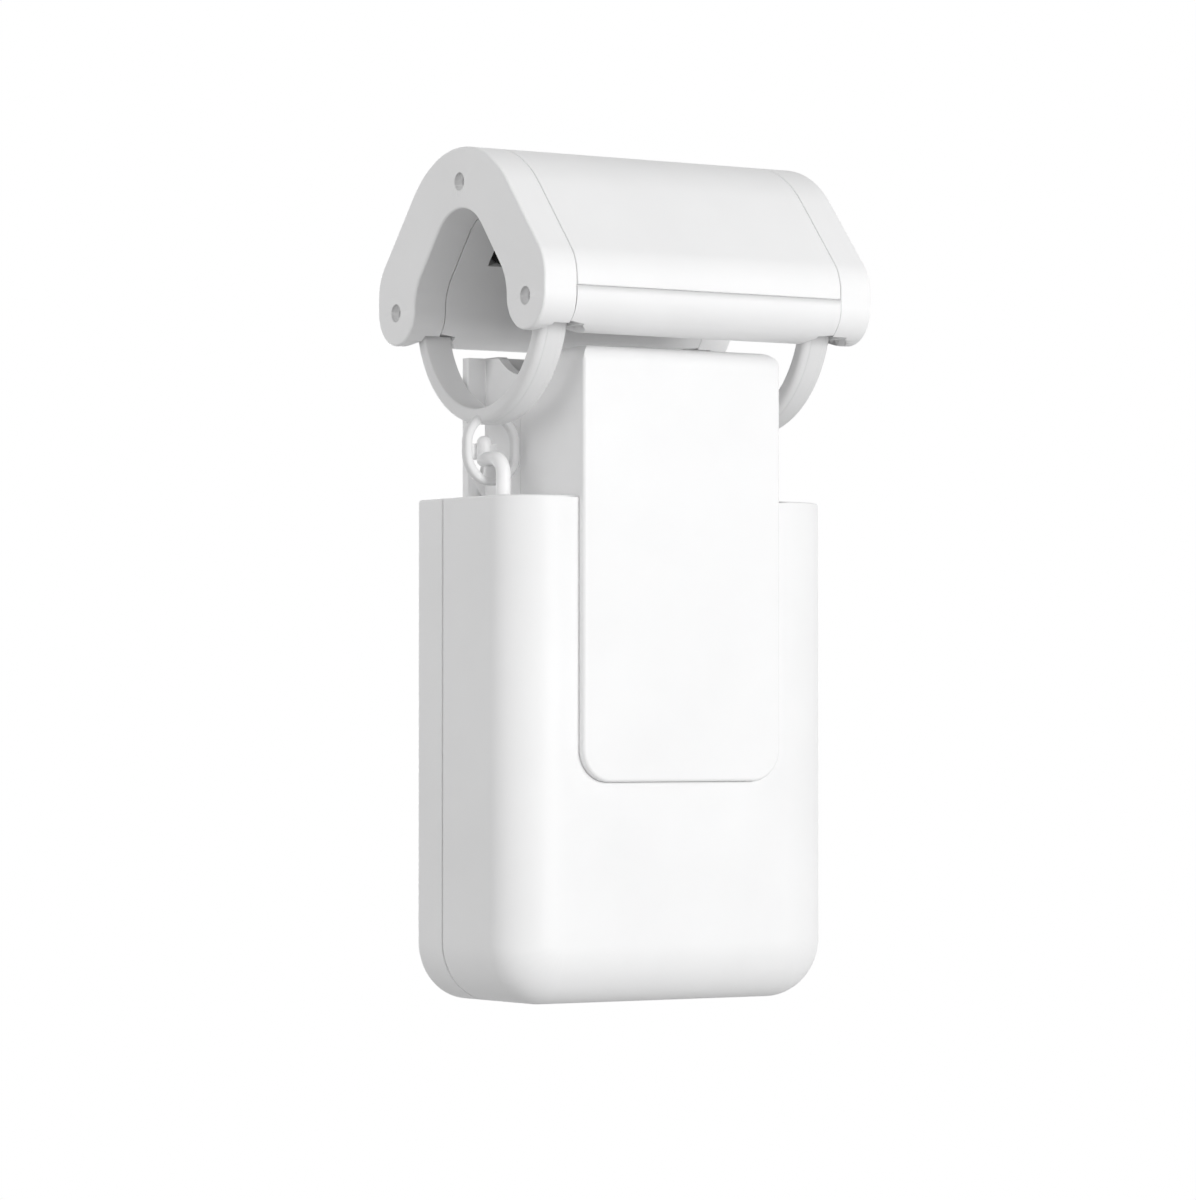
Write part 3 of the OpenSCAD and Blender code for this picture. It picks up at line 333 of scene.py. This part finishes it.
def broadenFront(bm):
    low, high = (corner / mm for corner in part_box("front_shell"))
    middle = Vector((high.x - frontEdge["corner"], low.z + frontEdge["corner"]))
    proud = []
    for vert in bm.verts:
        depth = low.y + frontEdge["deep"] - vert.co.y
        if depth <= 0:
            continue
        away = Vector((max(0, abs(vert.co.x) - middle.x), min(0, vert.co.z - middle.y)))
        inset = frontEdge["corner"] - away.length
        roundOff = frontEdge["deep"] - math.sqrt(max(0, frontEdge["deep"] ** 2 - depth ** 2))
        if away.length > 0 and inset < roundOff + frontEdge["skin"]:
            if abs(vert.co.x) < middle.x - frontEdge["aside"] and away.y < 0:
                proud.append(vert)  # where a screw boss meets the skin
            place = away.normalized() * (frontEdge["corner"] - roundOff * frontEdge["share"])
            if away.x > 0:
                vert.co.x = math.copysign(middle.x + place.x, vert.co.x)
            if away.y < 0:
                vert.co.z = middle.y + place.y
    bmesh.ops.dissolve_verts(bm, verts=proud)


softShell("front_shell", [
    (1, bodySeam - edges["gap"], edges["bodySeam"], rimReach["whole"]),
    (2, bodyTop, edges["bodyTop"], rimReach["long"]),
    (2, bodyTop, edges["hookHole"], *rimReach["hole"]),
], (1, bodySeam, -edges["gap"]), broadenFront)
softShell("rear_shell", [
    (1, rearSeam + edges["gap"], edges["bodySeam"], rimReach["whole"]),
    (2, bodyTop, edges["bodyTop"], rimReach["long"]),
], (1, rearSeam, edges["gap"]))
softShell("saddle_frame", [])
softShell("neck_rear_cover", [
    (1, neckBack, edges["neck"]),
    (0, flangeSide, edges["neck"]),
    (0, -flangeSide, edges["neck"]),
])
print("softened shells")


# shapes swept and turned in millimetres

def addRings(bm, rings, looped=False):  # skin over rings of points, capped unless the path closes
    grid = [[bm.verts.new(point) for point in ring] for ring in rings]
    size = len(grid[0])
    for i in range(len(grid) if looped else len(grid) - 1):
        here, there = grid[i], grid[(i + 1) % len(grid)]
        for k in range(size):
            bm.faces.new((here[k], here[(k + 1) % size], there[(k + 1) % size], there[k]))
    if not looped:
        bm.faces.new(grid[0][::-1])
        bm.faces.new(grid[-1])


def bend(x, y, radius, start, end, steps):  # points of an arc, angles in degrees
    turns = [math.radians(start + (end - start) * k / steps) for k in range(steps + 1)]
    return [(x + radius * math.cos(t), y + radius * math.sin(t)) for t in turns]


sweptSharp = 35  # degrees


def finishMesh(name, bm):
    bmesh.ops.recalc_face_normals(bm, faces=bm.faces)
    bmesh.ops.scale(bm, vec=(mm,) * 3, verts=bm.verts)
    for face in bm.faces:
        face.smooth = True
    mesh = bpy.data.meshes.new(name)
    bm.to_mesh(mesh)
    bm.free()
    mesh.set_sharp_from_angle(angle=math.radians(sweptSharp))
    return mesh


# straps: crowned bands with a moulded eyelet

strap = {"inner": 20.0, "thick": 3.0, "width": 6.0, "innerRound": 0.5, "innerSteps": 4, "outerRound": 1.1,
         "outerSteps": 6, "crown": 0.15, "crownTurn": 75, "crownSteps": 4, "lineAt": 1.45, "lineWidth": 0.5,
         "lineDepth": 0.03, "lineNear": 0.01, "lugZ": -2.6, "swing": 84.5, "steps": 72}
eyelet = {"low": -28.3, "rise": 1.8, "outer": 6.0, "inner": 4.4, "thick": 2.0, "round": 0.6, "roundSteps": 3,
          "steps": 40}
seat = {"foot": -33.7, "top": -30.8, "footWidth": 5.0, "topWidth": 3.8, "round": 0.22, "roundSteps": 2,
        "inset": 0.15}
# a greyer white than the frame's, darker all over the strap
strapFinish = mouldedPlastic("soft strap white", (0.76, 0.76, 0.762), (0.79, 0.79, 0.792),
                             rough=0.55, grain=1900, depth=0.00002)


def bandSection():
    half, low, high = strap["width"] / 2, strap["inner"], strap["inner"] + strap["thick"]
    small, large = strap["innerRound"], strap["outerRound"]
    flat, shoulder = half - large, high - strap["crown"] - large
    steps = strap["crownSteps"]
    section = bend(-half + small, low + small, small, 180, 270, strap["innerSteps"])
    section += bend(half - small, low + small, small, 270, 360, strap["innerSteps"])
    section += bend(half - large, shoulder, large, 0, strap["crownTurn"], strap["outerSteps"])
    marks = [flat * k / steps for k in range(steps - 1, -steps, -1)]
    for at in (strap["lineAt"], -strap["lineAt"]):  # fine mould lines along the band
        marks += [at - strap["lineWidth"] / 2, at, at + strap["lineWidth"] / 2]
    for u in sorted(marks, reverse=True):
        v = high - strap["crown"] * (u / flat) ** 2
        if abs(abs(u) - strap["lineAt"]) < strap["lineNear"]:
            v -= strap["lineDepth"]
        section.append((u, v))
    return section + bend(-half + large, shoulder, large, 180 - strap["crownTurn"], 180, strap["outerSteps"])


def eyeletRings(middle):
    half, wide = eyelet["thick"] / 2, (eyelet["outer"] - eyelet["inner"]) / 2
    centre, r = (eyelet["outer"] + eyelet["inner"]) / 2, eyelet["round"]
    section = []
    for along, across, start in ((1, 1, 0), (-1, 1, 90), (-1, -1, 180), (1, -1, 270)):
        section += bend(along * (wide - r), across * (half - r), r, start, start + 90, eyelet["roundSteps"])
    for rise, first in ((0, 180), (eyelet["rise"], 0)):
        for k in range(eyelet["steps"] + 1):
            t = math.radians(first + 180 * k / eyelet["steps"])
            yield [(middle + (centre + u) * math.cos(t), v, eyelet["low"] + rise + (centre + u) * math.sin(t))
                   for u, v in section]


def hookSeat(bm, middle):
    half = eyelet["thick"] / 2 - seat["inset"]  # a little inside the faces of the ring
    corners = [(-seat["footWidth"] / 2, seat["foot"]), (seat["footWidth"] / 2, seat["foot"]),
               (seat["topWidth"] / 2, seat["top"]), (-seat["topWidth"] / 2, seat["top"])]
    block = bmesh.new()
    addRings(block, [[(middle + u, v, z) for u, z in corners] for v in (-half, half)])
    bmesh.ops.recalc_face_normals(block, faces=block.faces)
    bmesh.ops.bevel(block, geom=block.edges[:], offset=seat["round"], segments=seat["roundSteps"],
                    profile=0.5, affect="EDGES")
    mesh = bpy.data.meshes.new("seat")
    block.to_mesh(mesh)
    block.free()
    bm.from_mesh(mesh)
    bpy.data.meshes.remove(mesh)


def softStrap(side, sign):
    name = "strap_" + side
    middle = sign * capSeam
    bm = shapeOf(name)  # the lugs at the pins come from the frame
    whole = bm.verts[:] + bm.edges[:] + bm.faces[:]
    cut = bmesh.ops.bisect_plane(bm, geom=whole, plane_co=(0, 0, strap["lugZ"]), plane_no=(0, 0, 1),
                                 clear_inner=True)
    bmesh.ops.holes_fill(bm, edges=[e for e in cut["geom_cut"] if isinstance(e, bmesh.types.BMEdge)])
    section = bandSection()
    turns = [math.radians(strap["swing"] * (2 * k / strap["steps"] - 1)) for k in range(strap["steps"] + 1)]
    addRings(bm, [[(middle + u, v * math.sin(t), -v * math.cos(t)) for u, v in section] for t in turns])
    addRings(bm, list(eyeletRings(middle)), looped=True)
    hookSeat(bm, middle)
    piece = addPiece(name + "_soft", finishMesh(name + "_soft", bm), bodyOf(name), slotOf[name], name)
    piece.data.materials[0] = strapFinish


for side, sign in (("left", -1), ("right", 1)):
    softStrap(side, sign)
print("straps with eyelets")


# springs round the pull hooks

spring = {"middle": (29.3, -4.2), "radius": 2.5, "wire": 0.8, "turns": 7, "low": -53.5, "high": -38.5,
          "closing": 0.5, "perTurn": 40, "sides": 12, "keep": 0.6}


def hookSpring(side, sign):
    name = "hook_spring_" + side
    x, y = sign * spring["middle"][0], spring["middle"][1]
    low, high = spring["low"] + spring["wire"] / 2, spring["high"] - spring["wire"] / 2
    count = spring["turns"] * spring["perTurn"]
    line = []
    for k in range(count + 1):
        t = k / count
        # the turns close up at the ends
        eased = t - spring["closing"] * math.sin(2 * math.pi * t) / (2 * math.pi)
        a = 2 * math.pi * k / spring["perTurn"]
        line.append(Vector((x + sign * spring["radius"] * math.cos(a), y + spring["radius"] * math.sin(a),
                            low + (high - low) * eased)))
    rings = []
    for k, point in enumerate(line):
        ahead = (line[min(k + 1, count)] - line[max(k - 1, 0)]).normalized()
        out = Vector((point.x - x, point.y - y, 0)).normalized()
        up = ahead.cross(out)
        turns = [2 * math.pi * j / spring["sides"] for j in range(spring["sides"])]
        rings.append([point + (out * math.cos(b) + up * math.sin(b)) * spring["wire"] / 2 for b in turns])
    bm = bmesh.new()
    addRings(bm, rings)
    piece = addPiece(name + "_coil", finishMesh(name + "_coil", bm), bodyOf(name), slotOf[name], name)
    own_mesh(piece)


for side, sign in (("left", -1), ("right", 1)):
    hookSpring(side, sign)
print("hook springs")


# drive wheel tyre with a cross tread, idler tyres with grooves

tread = {"ribs": 54, "depth": 0.4, "groove": 0.3, "wallTop": 0.06, "wallFoot": 0.02, "grooveEnd": 0.96,
         "shoulder": 0.35, "shoulderWidth": 1.2, "across": 20, "hollow": 12.6, "hubGap": 0.02}
idler = {"radius": 5.0, "inner": 3.42, "width": 7.8, "round": 0.45, "roundSteps": 5, "grooves": 3,
         "grooveWidth": 0.7, "grooveFloor": 0.6, "grooveDepth": 0.4, "steps": 72}


def wheelTyre():
    low, high = (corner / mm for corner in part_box("wheel_tyre"))
    hubLow, hubHigh = (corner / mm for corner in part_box("wheel_hub"))
    wheelZ, half = (low.z + high.z) / 2, high.y
    inner = (hubHigh.z - hubLow.z) / 2 + tread["hubGap"]
    rim = (high.z - low.z) / 2
    hollowAway = rim + math.sqrt(tread["hollow"] ** 2 - half ** 2)  # from the axle to the hollow's centre
    pitch = 2 * math.pi / tread["ribs"]
    outline = [  # share of the pitch, and whether the groove is there
        (0, 0),
        (1 - tread["groove"] - tread["wallTop"], 0),
        (1 - tread["groove"] + tread["wallFoot"], 1),
        (tread["grooveEnd"], 1),
    ]
    rings = []
    for k in range(tread["ribs"]):
        for share, sunk in outline:
            t = (k + share) * pitch
            ring = [(inner, -half)]
            for j in range(tread["across"] + 1):
                y = half * (2 * j / tread["across"] - 1)
                r = hollowAway - math.sqrt(tread["hollow"] ** 2 - y * y)
                inward = min(1, max(0, (half - abs(y)) / tread["shoulderWidth"]))
                r -= tread["depth"] * sunk * inward + tread["shoulder"] * (1 - inward) ** 2
                ring.append((r, y))
            ring.append((inner, half))
            rings.append([(r * math.cos(t), y, wheelZ + r * math.sin(t)) for r, y in ring])
    bm = bmesh.new()
    addRings(bm, rings, looped=True)
    name = "wheel_tyre"
    addPiece(name + "_tread", finishMesh(name + "_tread", bm), bodyOf(name), slotOf[name], name)


def idlerTyre(place):
    name = "idler_tyre_" + place
    low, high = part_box(name)
    middle = (low + high) / 2 / mm
    joint = next(j for j in record["behaviour"]["joints"] if j["child"] == bodyOf(name))
    axis = Vector(joint["axis"]).normalized()
    side = Vector((1, 0, 0))
    up = axis.cross(side)
    half, r, steps = idler["width"] / 2, idler["round"], idler["roundSteps"]
    section = [(idler["inner"], -half)] + bend(idler["radius"] - r, -half + r, r, -90, 0, steps)
    gap = idler["width"] / (idler["grooves"] + 1)
    deep = idler["radius"] - idler["grooveDepth"]
    for k in range(idler["grooves"]):
        at, w = -half + gap * (k + 1), idler["grooveWidth"] / 2
        floorHalf = w * idler["grooveFloor"]
        section += [(idler["radius"], at - w), (deep, at - floorHalf), (deep, at + floorHalf),
                    (idler["radius"], at + w)]
    section += bend(idler["radius"] - r, half - r, r, 0, 90, steps) + [(idler["inner"], half)]
    rings = []
    for k in range(idler["steps"]):
        t = 2 * math.pi * k / idler["steps"]
        out = side * math.cos(t) + up * math.sin(t)
        rings.append([middle + out * v + axis * u for v, u in section])
    bm = bmesh.new()
    addRings(bm, rings, looped=True)
    addPiece(name + "_ribbed", finishMesh(name + "_ribbed", bm), bodyOf(name), slotOf[name], name)


wheelTyre()
for place in ("front_left", "front_right", "rear_left", "rear_right"):
    idlerTyre(place)
print("tyres")


# screws with cross recesses, in place of the frame's plain ones

capScrew = {"axis": 0, "head": 1.6, "headHeight": 1.15, "shank": 1.1,
            "recess": 2.1, "slot": 0.5, "depth": 0.7}
shellScrew = {"axis": 1, "head": 2.1, "headHeight": 1.3, "shank": 1.1,
              "recess": 2.6, "slot": 0.6, "depth": 0.8}
crossForm = {"footShare": 0.55, "topShare": 1.06, "above": 0.1}
screwForm = {"sides": 60, "core": 0.05, "tipShare": 0.5, "tipHeight": 0.9, "rimHeight": 0.35,
             "crownHeight": 0.12, "crownShare": 0.93, "topShare": 0.8, "turn": 0.7, "sharp": 28}


def islandBoxes(name):  # low and high corner of each separate solid in a node
    bm = shapeOf(name)
    boxes = []
    for group in chains(bm.edges):
        points = [vert.co.copy() for edge in group for vert in edge.verts]
        boxes.append([Vector([pick(p[k] for p in points) for k in range(3)]) for pick in (min, max)])
    bm.free()
    return boxes


def crossCutter(facts, top):
    long, thin = facts["recess"] / 2, facts["slot"] / 2
    bar = [(-long, -thin), (long, -thin), (long, thin), (-long, thin)]
    levels = [(crossForm["footShare"], top - facts["depth"]),
              (crossForm["topShare"], top + crossForm["above"])]
    bm = bmesh.new()
    for corners in (bar, [(-v, u) for u, v in bar]):
        addRings(bm, [[(u * share, v * share, z) for u, v in corners] for share, z in levels])
    return finishMesh("cross", bm)


def screwMesh(facts, length):
    head, tall, r = facts["head"], facts["headHeight"], facts["shank"]
    section = [
        (screwForm["core"], 0),
        (r * screwForm["tipShare"], 0),
        (r, screwForm["tipHeight"]),
        (r, length - tall),
        (head, length - tall),
        (head, length - screwForm["rimHeight"]),
        (head * screwForm["crownShare"], length - screwForm["crownHeight"]),
        (head * screwForm["topShare"], length),
        (screwForm["core"], length),
    ]
    turns = [math.radians(360 / screwForm["sides"] * k) for k in range(screwForm["sides"])]
    bm = bmesh.new()
    addRings(bm, [[(v * math.cos(t), v * math.sin(t), z) for t in turns] for v, z in section])
    screw = bpy.data.objects.new("screw", finishMesh("screw", bm))
    cutter = bpy.data.objects.new("cutter", crossCutter(facts, length))
    for thing in (screw, cutter):
        scene.collection.objects.link(thing)
    boolean = screw.modifiers.new("cross", "BOOLEAN")
    boolean.object = cutter
    boolean.operation = "DIFFERENCE"
    boolean.use_self = True
    boolean.solver = "EXACT"
    bpy.context.view_layer.update()
    mesh = bpy.data.meshes.new_from_object(screw.evaluated_get(bpy.context.evaluated_depsgraph_get()))
    for thing in (screw, cutter):
        bpy.data.objects.remove(thing)
    return mesh


def screwSet(name, facts):
    bm = bmesh.new()
    along = facts["axis"]
    for turn, (low, high) in enumerate(islandBoxes(name)):
        length = high[along] - low[along]
        outward = -1 if along == 0 and (low.x + high.x) < 0 else 1
        place = (low + high) / 2
        place[along] = low[along] if outward > 0 else high[along]
        aim = Vector((0, 0, 0))
        aim[along] = outward
        pose = Matrix.Translation(place * mm) @ aim.to_track_quat("Z", "Y").to_matrix().to_4x4()
        mesh = screwMesh(facts, length)
        mesh.transform(pose @ Matrix.Rotation(screwForm["turn"] * turn, 4, "Z"))
        bm.from_mesh(mesh)
        bpy.data.meshes.remove(mesh)
    mesh = bpy.data.meshes.new(name + "_cross")
    for face in bm.faces:
        face.smooth = True
    bm.to_mesh(mesh)
    bm.free()
    mesh.set_sharp_from_angle(angle=math.radians(screwForm["sharp"]))
    addPiece(name + "_cross", mesh, bodyOf(name), slotOf[name], name)


screwSet("cap_screws", capScrew)
screwSet("shell_screws", shellScrew)
print("screws")


# camera at the photograph's angle

viewpoint = {"place": (-0.5057, -0.7699, -0.0790), "turn": 33.0, "pitch": 1.488,
             "lens": 146.67, "film": 36.0}

cameraData = bpy.data.cameras.new("camera")
cameraData.lens = viewpoint["lens"]
cameraData.sensor_fit = "VERTICAL"
cameraData.sensor_height = viewpoint["film"]
camera = bpy.data.objects.new("camera", cameraData)
camera.location = viewpoint["place"]
camera.rotation_euler = (math.radians(90 + viewpoint["pitch"]), 0, math.radians(-viewpoint["turn"]))
scene.collection.objects.link(camera)
scene.camera = camera
print("camera")


# floor, world and lamps

sky = {"level": 0.745, "overhead": 0.24}
ground = {"height": -0.26, "size": 0.9, "sides": 96, "dark": (0.56, 0.56, 0.56), "light": (0.6, 0.6, 0.6),
          "noiseScale": 30, "noiseDetail": 3, "rough": 0.9, "fadeFrom": 0.3, "fadeTo": 0.95, "fadeLow": 0.55}


def seenDirectly(tree):
    paths = tree.nodes.new("ShaderNodeLightPath")
    first = tree.nodes.new("ShaderNodeMath")
    first.operation = "MAXIMUM"
    tree.links.new(paths.outputs["Is Camera Ray"], first.inputs[0])
    tree.links.new(paths.outputs["Is Glossy Ray"], first.inputs[1])
    second = tree.nodes.new("ShaderNodeMath")
    second.operation = "MAXIMUM"
    tree.links.new(first.outputs[0], second.inputs[0])
    tree.links.new(paths.outputs["Is Transmission Ray"], second.inputs[1])
    return second.outputs[0]


def paleWorld():
    world = bpy.data.worlds.new("studio")
    world.use_nodes = True
    tree = world.node_tree
    ambient = tree.nodes["Background"]
    ambient.inputs["Color"].default_value = (1, 1, 1, 1)
    coords = tree.nodes.new("ShaderNodeTexCoord")
    split = tree.nodes.new("ShaderNodeSeparateXYZ")
    tree.links.new(coords.outputs["Generated"], split.inputs["Vector"])
    height = tree.nodes.new("ShaderNodeMath")
    height.operation = "ABSOLUTE"
    tree.links.new(split.outputs["Z"], height.inputs[0])
    level = tree.nodes.new("ShaderNodeMapRange")  # brightest at the level of the part
    level.inputs["To Min"].default_value = sky["level"]
    level.inputs["To Max"].default_value = sky["overhead"]
    tree.links.new(height.outputs[0], level.inputs["Value"])
    tree.links.new(level.outputs["Result"], ambient.inputs["Strength"])
    white = tree.nodes.new("ShaderNodeBackground")
    white.inputs["Color"].default_value = (1, 1, 1, 1)
    mix = tree.nodes.new("ShaderNodeMixShader")
    tree.links.new(seenDirectly(tree), mix.inputs["Fac"])
    tree.links.new(ambient.outputs["Background"], mix.inputs[1])
    tree.links.new(white.outputs["Background"], mix.inputs[2])
    tree.links.new(mix.outputs["Shader"], tree.nodes["World Output"].inputs["Surface"])
    scene.world = world


def paleFloor():
    mesh = bpy.data.meshes.new("floor")
    bm = bmesh.new()
    bmesh.ops.create_circle(bm, cap_ends=True, radius=ground["size"], segments=ground["sides"])
    bm.to_mesh(mesh)
    bm.free()
    floor = bpy.data.objects.new("floor", mesh)
    floor.location.z = ground["height"]
    scene.collection.objects.link(floor)
    material, tree, shader, coords = newFinish("pale floor")
    cloud = noise(tree, coords, ground["noiseScale"], ground["noiseDetail"])
    tree.links.new(ramp(tree, cloud, ground["dark"], ground["light"]), shader.inputs["Base Color"])
    shader.inputs["Roughness"].default_value = ground["rough"]
    glow = tree.nodes.new("ShaderNodeEmission")
    glow.inputs["Strength"].default_value = 1.0
    distance = tree.nodes.new("ShaderNodeVectorMath")
    distance.operation = "LENGTH"
    tree.links.new(coords, distance.inputs[0])
    fade = tree.nodes.new("ShaderNodeMapRange")  # the floor goes over into the white backdrop
    fade.inputs["From Min"].default_value = ground["fadeFrom"] * ground["size"]
    fade.inputs["From Max"].default_value = ground["fadeTo"] * ground["size"]
    fade.inputs["To Min"].default_value = ground["fadeLow"]
    fade.interpolation_type = "SMOOTHSTEP"
    tree.links.new(distance.outputs["Value"], fade.inputs["Value"])
    share = tree.nodes.new("ShaderNodeMath")
    share.operation = "MULTIPLY"
    tree.links.new(fade.outputs["Result"], share.inputs[0])
    tree.links.new(seenDirectly(tree), share.inputs[1])
    mix = tree.nodes.new("ShaderNodeMixShader")
    tree.links.new(share.outputs[0], mix.inputs["Fac"])
    tree.links.new(shader.outputs["BSDF"], mix.inputs[1])
    tree.links.new(glow.outputs["Emission"], mix.inputs[2])
    facing = tree.nodes.new("ShaderNodeNewGeometry")
    clear = tree.nodes.new("ShaderNodeBsdfTransparent")
    oneSided = tree.nodes.new("ShaderNodeMixShader")  # clear from below, so the foot can be looked at
    tree.links.new(facing.outputs["Backfacing"], oneSided.inputs["Fac"])
    tree.links.new(mix.outputs["Shader"], oneSided.inputs[1])
    tree.links.new(clear.outputs["BSDF"], oneSided.inputs[2])
    tree.links.new(oneSided.outputs["Shader"], tree.nodes["Material Output"].inputs["Surface"])
    mesh.materials.append(material)


lamps = {
    "key": {"place": (0.35, -1.5, 0.12), "power": 12.8, "size": 0.7},
    "fill": {"place": (-1.1, -0.2, 0.45), "power": 2.5, "size": 0.9},
    "back": {"place": (0.3, 1.4, 0.0), "power": 5.5, "size": 1.0},
}
lampAim = Vector((0, 0, -0.055))


def softLamp(name, place, power, size):
    data = bpy.data.lights.new(name, "AREA")
    data.energy = power
    data.size = size
    lamp = bpy.data.objects.new(name, data)
    lamp.location = place
    lamp.rotation_euler = (lampAim - lamp.location).to_track_quat("-Z", "Y").to_euler()
    scene.collection.objects.link(lamp)


paleWorld()
paleFloor()
for name, facts in lamps.items():
    softLamp(name, **facts)
print("studio:", len(lamps), "lamps")
